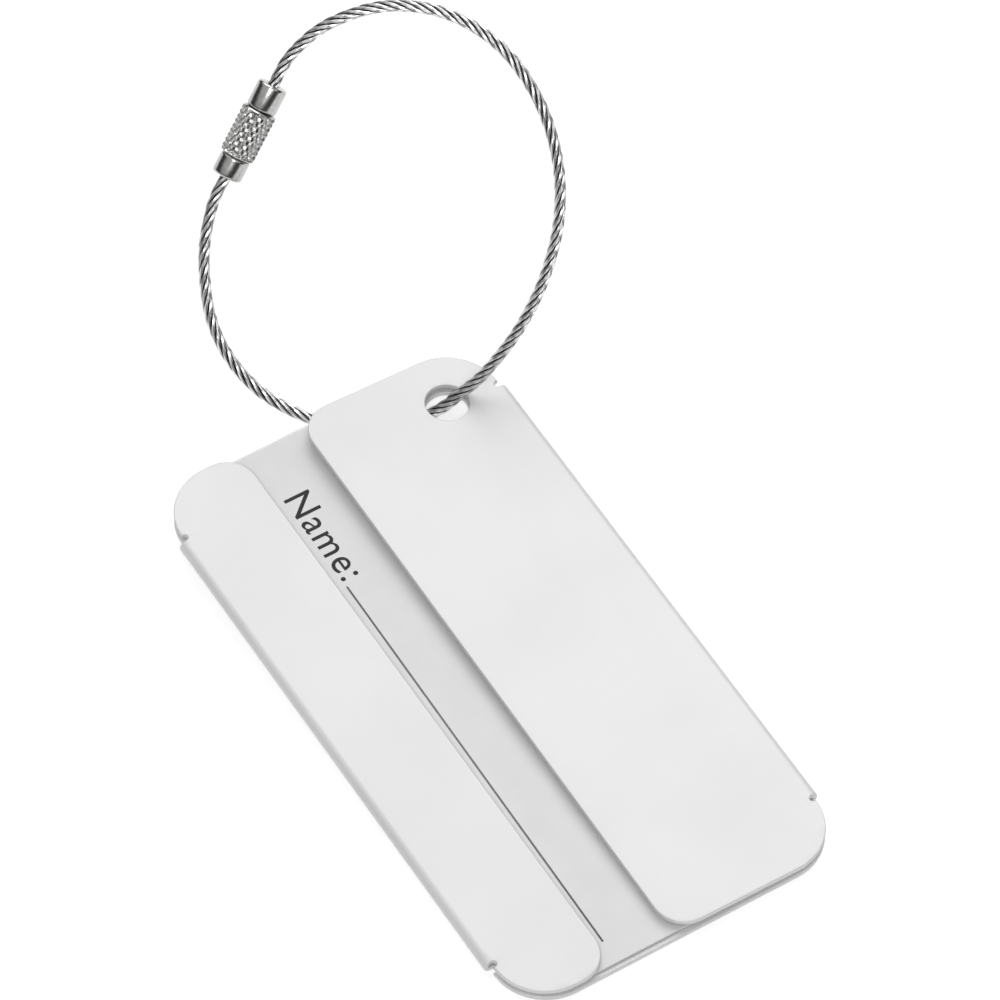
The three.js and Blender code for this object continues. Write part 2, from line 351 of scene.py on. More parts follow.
class Nodes:
    """Short names for making and joining shader nodes in one material."""

    def __init__(self, name: str) -> None:
        """Starts an empty node material with a Principled shader."""
        self.material = bpy.data.materials.new(name)
        self.material.use_nodes = True
        self.tree = self.material.node_tree
        self.tree.nodes.clear()
        self.shader = self.tree.nodes.new("ShaderNodeBsdfPrincipled")
        out = self.tree.nodes.new("ShaderNodeOutputMaterial")
        self.tree.links.new(self.shader.outputs[0], out.inputs["Surface"])

    def node(
        self, kind: str, inputs: dict[str | int, object] | None = None, **settings: object
    ) -> bpy.types.Node:
        """Adds a node.

        Args:
            kind: Blender's node type name.
            inputs: socket name or number to a value, or to another node's output socket.
            settings: properties of the node itself.

        Returns:
            The new node.
        """
        made = self.tree.nodes.new(kind)
        for key, value in settings.items():
            setattr(made, key, value)
        for key, value in (inputs or {}).items():
            self.put(made.inputs[key], value)
        return made

    def put(self, socket: bpy.types.NodeSocket, value: object) -> None:
        """Sets a socket's own value, or joins an output socket to it."""
        if isinstance(value, bpy.types.NodeSocket):
            self.tree.links.new(value, socket)
        else:
            socket.default_value = value

    def object_coordinates(self) -> bpy.types.NodeSocket:
        """The Object output of a texture coordinate node."""
        return self.node("ShaderNodeTexCoord").outputs["Object"]

    def noise(
        self, scale: float, detail: float, stretch: tuple[float, float, float] = (1, 1, 1)
    ) -> bpy.types.NodeSocket:
        """Noise on Object coordinates, stretched along the axes.

        Args:
            scale: features per metre.
            detail: octaves.
            stretch: how much finer the pattern is along each axis.

        Returns:
            The noise's factor output.
        """
        at = self.node("ShaderNodeMapping", {"Vector": self.object_coordinates(), "Scale": stretch})
        made = self.node("ShaderNodeTexNoise", {"Vector": at.outputs[0], "Scale": scale, "Detail": detail})
        return made.outputs["Fac"]

    def spread(self, value: bpy.types.NodeSocket, low: float, high: float) -> bpy.types.NodeSocket:
        """Maps a 0 to 1 value evenly to low to high."""
        made = self.node("ShaderNodeMapRange", {"Value": value, "To Min": low, "To Max": high})
        return made.outputs["Result"]

    def tint(
        self, value: bpy.types.NodeSocket, stops: list[tuple[float, tuple[float, ...]]]
    ) -> bpy.types.NodeSocket:
        """Colour ramp over a value.

        Args:
            value: the 0 to 1 socket.
            stops: place and linear colour of each stop, in rising order.

        Returns:
            The ramp's colour output.
        """
        made = self.node("ShaderNodeValToRGB", {"Fac": value})
        ramp = made.color_ramp
        while len(ramp.elements) < len(stops):
            ramp.elements.new(0.5)
        for element, (place, colour) in zip(ramp.elements, stops):
            element.position = place
            element.color = (*colour[:3], 1.0)
        return made.outputs["Color"]

    def bump(self, height: bpy.types.NodeSocket, distance: float, strength: float = 1.0) -> None:
        """Adds a bump of that height in metres under the shader's normal."""
        made = self.node("ShaderNodeBump", {"Height": height, "Distance": distance, "Strength": strength})
        self.put(self.shader.inputs["Normal"], made.outputs["Normal"])


@dataclass(frozen=True)
class SatinAluminium:
    """Fine-blasted and anodised sheet: a light, almost white grey with a soft sheen."""

    colour: tuple[float, float, float] = (0.625, 0.625, 0.626)
    shade: tuple[float, float, float] = (0.60, 0.60, 0.602)
    metallic: float = 0.12
    roughness: float = 0.45
    grain_per_m: float = 5200.0
    cloud_per_m: float = 55.0

    def make(self) -> bpy.types.Material:
        """Builds the material: grain in the bump and roughness, slow clouds in the colour."""
        n = Nodes("satin_aluminium")
        grain = n.noise(self.grain_per_m, 2.0)
        cloud = n.noise(self.cloud_per_m, 3.0)
        colour = n.tint(cloud, [(0.35, self.shade), (0.62, self.colour)])
        n.put(n.shader.inputs["Base Color"], colour)
        n.put(n.shader.inputs["Metallic"], self.metallic)
        n.put(n.shader.inputs["Roughness"], n.spread(grain, self.roughness - 0.06, self.roughness + 0.08))
        n.bump(grain, 4e-6)
        return n.material


@dataclass(frozen=True)
class CardPaper:
    """Matt coated card, with a faint fibre in colour and surface."""

    colour: tuple[float, float, float] = (0.63, 0.63, 0.632)
    shade: tuple[float, float, float] = (0.605, 0.605, 0.607)
    roughness: float = 0.62
    fibre_per_m: float = 2400.0

    def make(self) -> bpy.types.Material:
        """Builds the material: fibres run across the card, clouds of pulp under them."""
        n = Nodes("card_paper")
        fibre = n.noise(self.fibre_per_m, 4.0, (0.35, 1.0, 1.0))
        pulp = n.noise(240.0, 5.0)
        colour = n.tint(pulp, [(0.3, self.shade), (0.7, self.colour)])
        n.put(n.shader.inputs["Base Color"], colour)
        n.put(n.shader.inputs["Roughness"], n.spread(fibre, self.roughness - 0.05, self.roughness + 0.1))
        n.put(n.shader.inputs["Specular IOR Level"], 0.35)
        n.bump(fibre, 6e-6)
        return n.material


@dataclass(frozen=True)
class PrintInk:
    """Printed ink, a little uneven where the paper shows through."""

    name: str = "heading_ink"
    colour: tuple[float, float, float] = (0.02, 0.02, 0.022)
    faded: tuple[float, float, float] = (0.045, 0.045, 0.048)

    def make(self) -> bpy.types.Material:
        """Builds the material: fine noise between full and faded ink."""
        n = Nodes(self.name)
        worn = n.noise(5200.0, 3.0)
        n.put(n.shader.inputs["Base Color"], n.tint(worn, [(0.4, self.colour), (0.8, self.faded)]))
        n.put(n.shader.inputs["Roughness"], n.spread(worn, 0.5, 0.65))
        n.put(n.shader.inputs["Specular IOR Level"], 0.15)
        return n.material


@dataclass(frozen=True)
class DrawnSteel:
    """Bright drawn wire: fine die lines along each wire, and painted shade that darkens the grooves between
    wires and strands.
    """

    colour: tuple[float, float, float] = (0.78, 0.78, 0.78)
    # groove: a dark grey painted as shade in the grooves between wires and strands
    groove: tuple[float, float, float] = (0.10, 0.10, 0.10)
    roughness: float = 0.27

    def make(self) -> bpy.types.Material:
        """Builds the material: the rope's crown attribute blends the wire colour into a dark grey, painted
        shade in the grooves between wires and strands.
        """
        n = Nodes("drawn_steel")
        depth = n.node("ShaderNodeAttribute", attribute_name="crown").outputs["Fac"]
        speck = n.noise(9000.0, 2.0)
        # painted shade: points that face into the rope take the dark groove colour
        colour = n.tint(depth, [(0.15, self.groove), (0.62, self.colour)])
        n.put(n.shader.inputs["Base Color"], colour)
        n.put(n.shader.inputs["Metallic"], 1.0)
        n.put(n.shader.inputs["Roughness"], n.spread(speck, self.roughness - 0.06, self.roughness + 0.1))
        n.bump(speck, 2e-6)
        return n.material


@dataclass(frozen=True)
class NickelPlate:
    """Polished nickel plate with faint turning marks round each part and small scuffs."""

    name: str = "nickel_plate"
    colour: tuple[float, float, float] = (0.50, 0.497, 0.49)
    roughness: float = 0.15
    scuff: float = 0.12

    def make(self) -> bpy.types.Material:
        """Builds the material: scuffs of fine noise raise the roughness and dull the colour."""
        n = Nodes(self.name)
        scuffs = n.noise(2600.0, 5.0)
        dulled = tuple(0.82 * c for c in self.colour)
        n.put(n.shader.inputs["Base Color"], n.tint(scuffs, [(0.42, self.colour), (0.75, dulled)]))
        n.put(n.shader.inputs["Metallic"], 1.0)
        n.put(n.shader.inputs["Roughness"], n.spread(scuffs, self.roughness, self.roughness + self.scuff))
        n.bump(scuffs, 3e-6)
        return n.material


# ---- Camera, floor and lights --------------------------------------------------------------------


@dataclass(frozen=True)
class SoftLight:
    """A rectangular area light that looks at the tag."""

    name: str
    at: tuple[float, float, float]
    side: float
    watts: float

    def make(self) -> None:
        """Adds the light at its place in metres, turned so that its -Z looks at the origin."""
        data = bpy.data.lights.new(self.name, "AREA")
        data.shape = "RECTANGLE"
        data.size, data.size_y = self.side, self.side
        data.energy = self.watts
        obj = bpy.data.objects.new(self.name, data)
        bpy.context.scene.collection.objects.link(obj)
        obj.location = self.at
        obj.rotation_mode = "QUATERNION"
        obj.rotation_quaternion = (-Vector(self.at)).to_track_quat("-Z", "Y")


@dataclass
class Studio:
    """Camera, pale floor and soft lights."""

    camera_at: tuple[float, float, float] = (-0.2916, -0.4716, 0.7827)
    look_at: tuple[float, float, float] = (0.0146, 0.02255, 0.0)
    lens_mm: float = 290.8
    floor_size: float = 6.0
    floor_glow: float = 0.55
    sky_strength: float = 0.62
    band_top: float = 0.42
    band_fade: float = 0.12
    soft_lights: tuple[SoftLight, ...] = (
        SoftLight("front", (-0.50, -0.72, 1.15), 0.5, 7.5),
        SoftLight("back", (0.62, 0.80, 1.25), 1.3, 15.0),
    )

    def camera(self) -> bpy.types.Object:
        """Makes the camera and points it: -Z looks along the line of sight, +Y stays up."""
        data = bpy.data.cameras.new("camera")
        data.lens = self.lens_mm
        data.sensor_width = 36.0
        data.clip_start, data.clip_end = 0.05, 50.0
        obj = bpy.data.objects.new("camera", data)
        bpy.context.scene.collection.objects.link(obj)
        obj.location = self.camera_at
        sight = Vector(self.look_at) - Vector(self.camera_at)
        obj.rotation_mode = "QUATERNION"
        obj.rotation_quaternion = sight.to_track_quat("-Z", "Y")
        bpy.context.scene.camera = obj
        return obj

    def floor(self) -> bpy.types.Object:
        """A flat pale floor at z = 0, lit a little from below like a light table."""
        half = self.floor_size / 2
        shell = Shell()
        corners = np.array([[-half, -half, 0], [half, -half, 0], [half, half, 0], [-half, half, 0]])
        shell.add(corners, np.array([[0, 1, 2, 3]]))
        obj = shell.piece("floor", lambda points: points)
        n = Nodes("floor_paint")
        cloud = n.noise(2.0, 2.0)
        paint = n.tint(cloud, [(0.3, (0.54, 0.54, 0.54)), (0.7, (0.56, 0.56, 0.56))])
        n.put(n.shader.inputs["Base Color"], paint)
        n.put(n.shader.inputs["Roughness"], 0.9)
        n.put(n.shader.inputs["Emission Color"], (1.0, 1.0, 1.0, 1.0))
        n.put(n.shader.inputs["Emission Strength"], self.floor_glow)
        n.put(n.shader.inputs["Specular IOR Level"], 0.1)
        obj.data.materials.append(n.material)
        return obj

    def lights(self) -> None:
        """Adds the soft lights and the sky, and shows plain sRGB colours."""
        for light in self.soft_lights:
            light.make()
        self.sky()
        bpy.context.scene.view_settings.view_transform = "Standard"

    def sky(self) -> None:
        """A pale dome with a dark band low down, which gives the turned metal its dark stripes."""
        world = bpy.data.worlds.new("sky")
        world.use_nodes = True
        tree = world.node_tree
        direction = tree.nodes.new("ShaderNodeTexCoord")
        split = tree.nodes.new("ShaderNodeSeparateXYZ")
        ramp = tree.nodes.new("ShaderNodeValToRGB")
        tree.links.new(direction.outputs["Generated"], split.inputs[0])
        tree.links.new(split.outputs["Z"], ramp.inputs[0])
        tree.links.new(ramp.outputs["Color"], tree.nodes["Background"].inputs["Color"])
        stops = ((0.0, 0.05), (self.band_top, 0.05), (self.band_top + self.band_fade, 1.0))
        while len(ramp.color_ramp.elements) < len(stops):
            ramp.color_ramp.elements.new(0.5)
        for element, (place, grey) in zip(ramp.color_ramp.elements, stops):
            element.position = place
            element.color = (grey, grey, grey, 1.0)
        tree.nodes["Background"].inputs["Strength"].default_value = self.sky_strength
        bpy.context.scene.world = world


# ---- Wire loop -----------------------------------------------------------------------------------


@dataclass(frozen=True)
class LockAxis:
    """The screw lock's own axis, from the swivel end to the screw end."""

    start: tuple[float, float, float] = (2.6, 108.3, 24.4)
    end: tuple[float, float, float] = (11.4, 111.5, 32.8)

    @property
    def along(self) -> Array:
        """Unit vector along the axis."""
        d = np.array(self.end) - np.array(self.start)
        return d / np.linalg.norm(d)

    def at(self, height: float) -> Array:
        """The point at that distance in mm from the swivel end."""
        return np.array(self.start) + self.along * height

    def place(self, points: Array) -> Array:
        """Turns +Z onto the axis, moves to its start and converts to row metres.

        Args:
            points: N x 3 array in mm, heights along +Z.

        Returns:
            N x 3 array in metres.
        """
        w = self.along
        u = np.cross([0.0, 1.0, 0.0], w)
        u /= np.linalg.norm(u)
        v = np.cross(w, u)
        return PLACE.loop(points @ np.stack([u, v, w]) + np.array(self.start))


LOCK = LockAxis()


@dataclass
class WireRope:
    """Stranded wire: six strands of six wires laid round a core, 1.5 mm over all."""

    diameter: float = 1.5
    strands: int = 6
    wires: int = 6
    points_per_wire: int = 4
    lay_length: float = 9.5
    strand_lay: float = 5.5
    step: float = 0.26
    bore_depth: float = 1.3
    stud_end: float = 12.55
    route: tuple[tuple[float, float, float], ...] = (
        (13.1, 112.1, 34.5), (15.3, 112.4, 36.2), (19.3, 111.7, 38.9), (25.5, 108.6, 41.5),
        (30.8, 103.4, 42.1), (34.3, 97.1, 40.4), (35.6, 90.7, 36.7), (35.0, 85.1, 31.7),
        (32.8, 80.9, 26.0), (29.2, 78.2, 19.9), (24.9, 77.0, 13.9), (20.1, 77.2, 8.1),
        (16.7, 78.2, 4.5), (15.0, 78.8, 2.8), (13.0, 79.6, 1.5), (10.8, 80.5, 0.9),
        (8.5, 81.5, 0.8), (6.3, 82.7, 0.8), (2.1, 85.4, 1.4), (-1.3, 88.7, 2.9),
        (-3.8, 92.4, 5.2), (-5.1, 96.2, 8.2), (-5.1, 99.8, 11.7), (-3.1, 104.3, 17.3),
        (-0.6, 106.8, 21.1), (0.9, 107.7, 22.8),
    )

    def knots(self) -> Array:
        """The route with its two ends in the ferrules' bores."""
        head = [LOCK.at(self.stud_end - self.bore_depth), LOCK.at(self.stud_end + 0.3)]
        tail = [LOCK.at(-0.3), LOCK.at(self.bore_depth)]
        return np.vstack([head, self.route, tail])

    def centreline(self) -> Array:
        """Centripetal Catmull-Rom curve through the knots, resampled at even steps of length.

        In each span the curve is Barry and Goldman's pyramid of linear blends, with knot times that
        grow by the square root of the distance between knots.

        Returns:
            N x 3 array in mm.
        """
        k = self.knots()
        k = np.vstack([2 * k[0] - k[1], k, 2 * k[-1] - k[-2]])
        t = np.concatenate([[0], np.cumsum(np.linalg.norm(np.diff(k, axis=0), axis=1) ** 0.5)])
        u = np.linspace(0, 1, 60, endpoint=False)[None, :, None]
        p0, p1, p2, p3 = (k[i:len(k) - 3 + i, None, :] for i in range(4))
        t0, t1, t2, t3 = (t[i:len(t) - 3 + i, None, None] for i in range(4))
        s = t1 + (t2 - t1) * u
        a1 = ((t1 - s) * p0 + (s - t0) * p1) / (t1 - t0)
        a2 = ((t2 - s) * p1 + (s - t1) * p2) / (t2 - t1)
        a3 = ((t3 - s) * p2 + (s - t2) * p3) / (t3 - t2)
        b1 = ((t2 - s) * a1 + (s - t0) * a2) / (t2 - t0)
        b2 = ((t3 - s) * a2 + (s - t1) * a3) / (t3 - t1)
        dense = np.vstack([(((t2 - s) * b1 + (s - t1) * b2) / (t2 - t1)).reshape(-1, 3), k[-2:-1]])
        run = np.concatenate([[0], np.cumsum(np.linalg.norm(np.diff(dense, axis=0), axis=1))])
        even = np.linspace(0, run[-1], int(round(run[-1] / self.step)) + 1)
        return np.stack([np.interp(even, run, dense[:, i]) for i in range(3)], -1)

    def axes(self, centre: Array) -> tuple[Array, Array, Array]:
        """Tangent T, and N and B square to it, turned back by the twist they would gather.

        N starts as the loop plane's normal less its part along T. Its twist rate is dN/ds . B, and
        the running sum of that is taken off again, so the strands keep an even lay.

        Args:
            centre: N x 3 centreline.

        Returns:
            Three N x 3 arrays of unit vectors.
        """
        tangent = np.gradient(centre, axis=0)
        tangent /= np.linalg.norm(tangent, axis=1, keepdims=True)
        plane = np.linalg.svd(centre - centre.mean(0))[2][2]
        n = plane - (tangent @ plane)[:, None] * tangent
        n /= np.linalg.norm(n, axis=1, keepdims=True)
        b = np.cross(tangent, n)
        twist = -np.cumsum(np.sum(np.gradient(n, axis=0) * b, axis=1))[:, None]
        return tangent, n * np.cos(twist) + b * np.sin(twist), b * np.cos(twist) - n * np.sin(twist)

    def strand_section(self) -> tuple[Array, Array, Array]:
        """Outline of six touching wires round a seventh: each wire's outer arc of 136 degrees.

        Returns:
            Angle and radius of each point about the strand's axis, and its crown: 1 on top of a wire and 0
            in the groove beside it. In the rope it is multiplied by how far the point faces out of the rope,
            and it masks the painted shade, which is darkest in the grooves between strands.
        """
        wire_r, half = self.diameter / 18, float(np.radians(68))
        turn = np.linspace(-half, half, self.points_per_wire)
        x, y = 2 * wire_r + wire_r * np.cos(turn), wire_r * np.sin(turn)
        angle, radius = np.arctan2(y, x), np.hypot(x, y)
        spokes = np.repeat(np.arange(self.wires) * 2 * np.pi / self.wires, self.points_per_wire)
        crown = np.tile(1 - np.abs(turn) / half, self.wires)
        return np.tile(angle, self.wires) + spokes, np.tile(radius, self.wires), crown

    def build(self) -> tuple[bpy.types.Object, Array]:
        """Makes the rope: strand centre C + R (N cos p + B sin p), p growing by a turn each lay.

        Each strand's section turns the other way, once each strand lay, and its ends are closed by
        fans. A plain core fills the middle.

        Returns:
            The rope's object, and its centreline in mm.
        """
        centre = self.centreline()
        tangent, n, b = self.axes(centre)
        run = np.arange(len(centre)) * np.linalg.norm(centre[1] - centre[0])
        angle, radius, crown = self.strand_section()
        shell, crowns = Shell(), []
        rows, size = len(centre), len(angle)
        for k in range(self.strands):
            phase = 2 * np.pi * (run / self.lay_length + k / self.strands)
            out = n * np.cos(phase)[:, None] + b * np.sin(phase)[:, None]
            side = b * np.cos(phase)[:, None] - n * np.sin(phase)[:, None]
            middle = centre + out * self.diameter / 3
            q = angle[None, :] - 2 * np.pi * run[:, None] / self.strand_lay
            across, along = (radius * np.cos(q))[..., None], (radius * np.sin(q))[..., None]
            ring = across * out[:, None] + along * side[:, None]
            points = (middle[:, None] + ring).reshape(-1, 3)
            self.close(shell, points, middle, rows, size)
            # painted shade mask: low where a point faces into the rope, so the grooves take the dark groove
            # colour
            outward = np.clip((np.cos(q) + 0.15) / 1.15, 0, 1)
            crowns += [(outward * (0.7 + 0.3 * crown)).ravel(), [0.5, 0.5]]
        core = np.linspace(0, 2 * np.pi, 8, endpoint=False)
        ring = np.cos(core)[None, :, None] * n[:, None] + np.sin(core)[None, :, None] * b[:, None]
        points = (centre[:, None] + ring * self.diameter / 5.2).reshape(-1, 3)
        self.close(shell, points, centre, rows, 8)
        # the core's mask is 0, so it is all in painted shade
        crowns += [np.zeros(rows * 8 + 2)]
        obj = shell.piece("wire_rope", PLACE.loop)
        # the crown attribute carries the painted shade mask to the drawn_steel material
        made = obj.data.attributes.new("crown", "FLOAT", "POINT")
        made.data.foreach_set("value", np.concatenate(crowns).astype(np.float32))
        return obj, centre

    def close(self, shell: Shell, points: Array, middle: Array, rows: int, size: int) -> None:
        """Adds a tube of rings with a fan over each end."""
        shell.add(
            np.vstack([points, middle[:1], middle[-1:]]),
            grid_faces(rows, size, False, True)[:, ::-1],
            fan(0, size, rows * size, False),
            fan((rows - 1) * size, size, rows * size + 1, True),
        )


class Facing(Enum):
    """Which way a turned part's end face looks along the lock's axis."""

    UP = 1
    DOWN = -1


@dataclass
class ScrewLock:
    """Swivel ferrule, its pin, the knurled nut and the threaded ferrule, all turned parts."""

    ferrule_d: float = 3.8
    nut_d: float = 4.4
    nut_l: float = 6.3
    swivel_l: float = 2.75
    threaded_l: float = 3.4
    gap: float = 0.05
    rim: float = 0.35
    wire_bore_r: float = 0.8
    bore_depth: float = 1.4
    stud_d: float = 2.4
    stud_bore_r: float = 1.28
    pitch: float = 0.45
    tip: float = 5.5
    knurl_depth: float = 0.3
    knurl_rows: int = 16
    knurl_rise: float = 0.78
    bevel: float = 0.12
    pin_r: float = 0.7
    pin_head_r: float = 1.15
    pin_head_l: float = 0.8
    pin_depth: float = 0.9
    pin_bore_r: float = 0.75
    nut_eye_r: float = 0.78
    nut_floor: float = 1.0

    @property
    def nut_start(self) -> float:
        """Height of the nut's lower face."""
        return self.swivel_l + self.gap

    @property
    def screw_start(self) -> float:
        """Height of the threaded ferrule's lower face."""
        return self.nut_start + self.nut_l + self.gap

    def corner(self, radius: float, height: float, facing: Facing) -> Array:
        """Rounded outer corner: a quarter circle of the rim radius, from the face to the side.

        Args:
            radius: the side's radius.
            height: the face's height.
            facing: which way the face looks.

        Returns:
            Points from the face to the side.
        """
        a = np.radians(np.linspace(0, 90, 7))
        r = radius - self.rim + self.rim * np.sin(a)
        return np.stack([r, height - facing.value * self.rim * (1 - np.cos(a))], -1)

    def swivel_ferrule(self) -> bpy.types.Object:
        """Smooth ferrule on the standing end, with the wire's bore in its lower face."""
        r, top = self.ferrule_d / 2, self.swivel_l
        floor = top - self.pin_depth - self.gap
        profile = np.vstack([
            [[0, self.bore_depth], [self.wire_bore_r, self.bore_depth], [self.wire_bore_r, self.bevel]],
            [[self.wire_bore_r + self.bevel, 0.0]],
            self.corner(r, 0.0, Facing.DOWN),
            [[r, 0.5 * top], [r, top - self.rim - 0.02]],
            self.corner(r, top, Facing.UP)[::-1],
            [[self.pin_bore_r, top], [self.pin_bore_r, floor], [0, floor]],
        ])
        shell = Shell()
        lathe(shell, profile, 72, plain)
        return shell.piece("swivel_ferrule_turned", LOCK.place)

    def thread(self, r: Array, h: Array, a: Array) -> Array:
        """Right-hand screw: the crest radius less a triangle wave of height over pitch less a turn."""
        wave = np.abs(((h / self.pitch - a / (2 * np.pi)) % 1.0) * 2 - 1)
        on = (h > self.tip + 0.25) & (h < self.screw_start - 0.3) & (r > 1.0)
        return np.where(on, r - 0.2 * wave, r)

    def threaded_ferrule(self) -> bpy.types.Object:
        """Smooth ferrule on the free end, one piece with its threaded stud."""
        r, low, top = self.ferrule_d / 2, self.screw_start, self.screw_start + self.threaded_l
        stud = self.stud_d / 2
        shank = np.linspace(self.tip + 0.28, low - 0.3, 72)
        profile = np.vstack([
            [[0, self.tip], [stud - 0.35, self.tip], [stud - 0.1, self.tip + 0.22]],
            np.stack([np.full(72, stud), shank], -1),
            [[stud - 0.2, low - 0.28], [stud - 0.2, low]],
            self.corner(r, low, Facing.DOWN),
            [[r, (low + top) / 2]],
            self.corner(r, top, Facing.UP)[::-1],
            [[self.wire_bore_r + self.bevel, top], [self.wire_bore_r, top - self.bevel]],
            [[self.wire_bore_r, top - self.bore_depth], [0, top - self.bore_depth]],
        ])
        shell = Shell()
        lathe(shell, profile, 72, self.thread)
        return shell.piece("threaded_ferrule_turned", LOCK.place)

    def swivel_pin(self) -> bpy.types.Object:
        """Headed pin inside the nut, its head's edge broken."""
        low, head = self.swivel_l - self.pin_depth, self.nut_start + self.nut_floor + self.gap
        r, wide, end, cut = self.pin_r, self.pin_head_r, head + self.pin_head_l, 0.1
        profile = np.array([
            [0, low], [r - cut, low], [r, low + cut], [r, head - 0.05], [r + 0.05, head], [wide - cut, head],
            [wide, head + cut], [wide, end - cut], [wide - cut, end], [0, end],
        ])
        shell = Shell()
        lathe(shell, profile, 48, plain)
        return shell.piece("swivel_pin_turned", LOCK.place)

    def knurl(self, r: Array, h: Array, a: Array) -> Array:
        """Diamond knurl: two crossing sets of V grooves, the deeper of the two at each point.

        A groove's depth is a triangle wave of angle times rows plus or minus height times rise, and
        it fades out towards the nut's two rims.
        """
        low, high = self.nut_start, self.nut_start + self.nut_l
        u = a * self.knurl_rows / (2 * np.pi)
        v = (h - low) * self.knurl_rise
        one, two = (np.abs(((u + sign * v) % 1.0) * 2 - 1) for sign in (1.0, -1.0))
        cut = np.clip((np.maximum(one, two) - 0.22) / 0.78, 0, 1)
        fade = np.clip(np.minimum(h - low, high - h) / 0.25 - 0.4, 0, 1)
        outer = r > self.nut_d / 2 - 0.02
        return np.where(outer, r - self.knurl_depth * cut * fade, r)

    def knurled_nut(self) -> bpy.types.Object:
        """Nut with a diamond knurl, bored for the stud, its floor held by the pin's head."""
        r, low, high = self.nut_d / 2, self.nut_start, self.nut_start + self.nut_l
        a = np.linspace(0, 2 * np.pi, 240, endpoint=False)
        side = np.linspace(low + 0.3, high - 0.3, 96)
        ring = np.vstack([
            [[self.nut_eye_r, low]],
            self.corner(r, low, Facing.DOWN)[:-1],
            np.stack([np.full(96, r), side], -1),
            self.corner(r, high, Facing.UP)[::-1][1:],
            [[self.stud_bore_r + self.bevel, high], [self.stud_bore_r, high - self.bevel]],
            [[self.stud_bore_r, low + self.nut_floor], [self.nut_eye_r, low + self.nut_floor]],
        ])
        rr, hh = ring[:, 0, None] + 0 * a, ring[:, 1, None] + 0 * a
        rr = self.knurl(rr, hh, a[None, :] + 0 * rr)
        points = np.stack([rr * np.cos(a), rr * np.sin(a), hh], -1).reshape(-1, 3)
        shell = Shell()
        shell.add(points, grid_faces(len(ring), len(a), True, True))
        return shell.piece("knurled_nut_turned", LOCK.place)


@dataclass
class WireLoop:
    """The rope and its screw lock."""

    rope: WireRope = field(default_factory=WireRope)
    lock: ScrewLock = field(default_factory=ScrewLock)
    bend_from: tuple[float, float, float] = (19.0, 77.3, 7.0)
    bend_along: tuple[float, float, float] = (0.70217, 0.58105, -0.41151)
    bend_length: float = 3.42
    sharp_deg: float = 38.0

    def build(self) -> None:
        steel, nickel = DrawnSteel().make(), NickelPlate().make()
        rope, centre = self.rope.build()
        rope.data.materials.append(steel)
        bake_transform(rope)
        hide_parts("cable")
        log.info("wire_rope: %d vertices", len(rope.data.vertices))
        for obj, body, node in (
            (self.lock.swivel_ferrule(), "loop", "swivel_ferrule"),
            (self.lock.swivel_pin(), "loop", "swivel_pin"),
            (self.lock.knurled_nut(), "nut", "knurled_nut"),
            (self.lock.threaded_ferrule(), "free_end", "threaded_ferrule"),
        ):
            obj.data.set_sharp_from_angle(angle=float(np.radians(self.sharp_deg)))
            obj.data.materials.append(nickel)
            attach(obj, body)
            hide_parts(node)
            log.info("%s: %d vertices on %s", obj.name, len(obj.data.vertices), body)
        PLACE.loop(LOCK.at(0.0)[None])[0].tolist()


# ---- Holder --------------------------------------------------------------------------------------


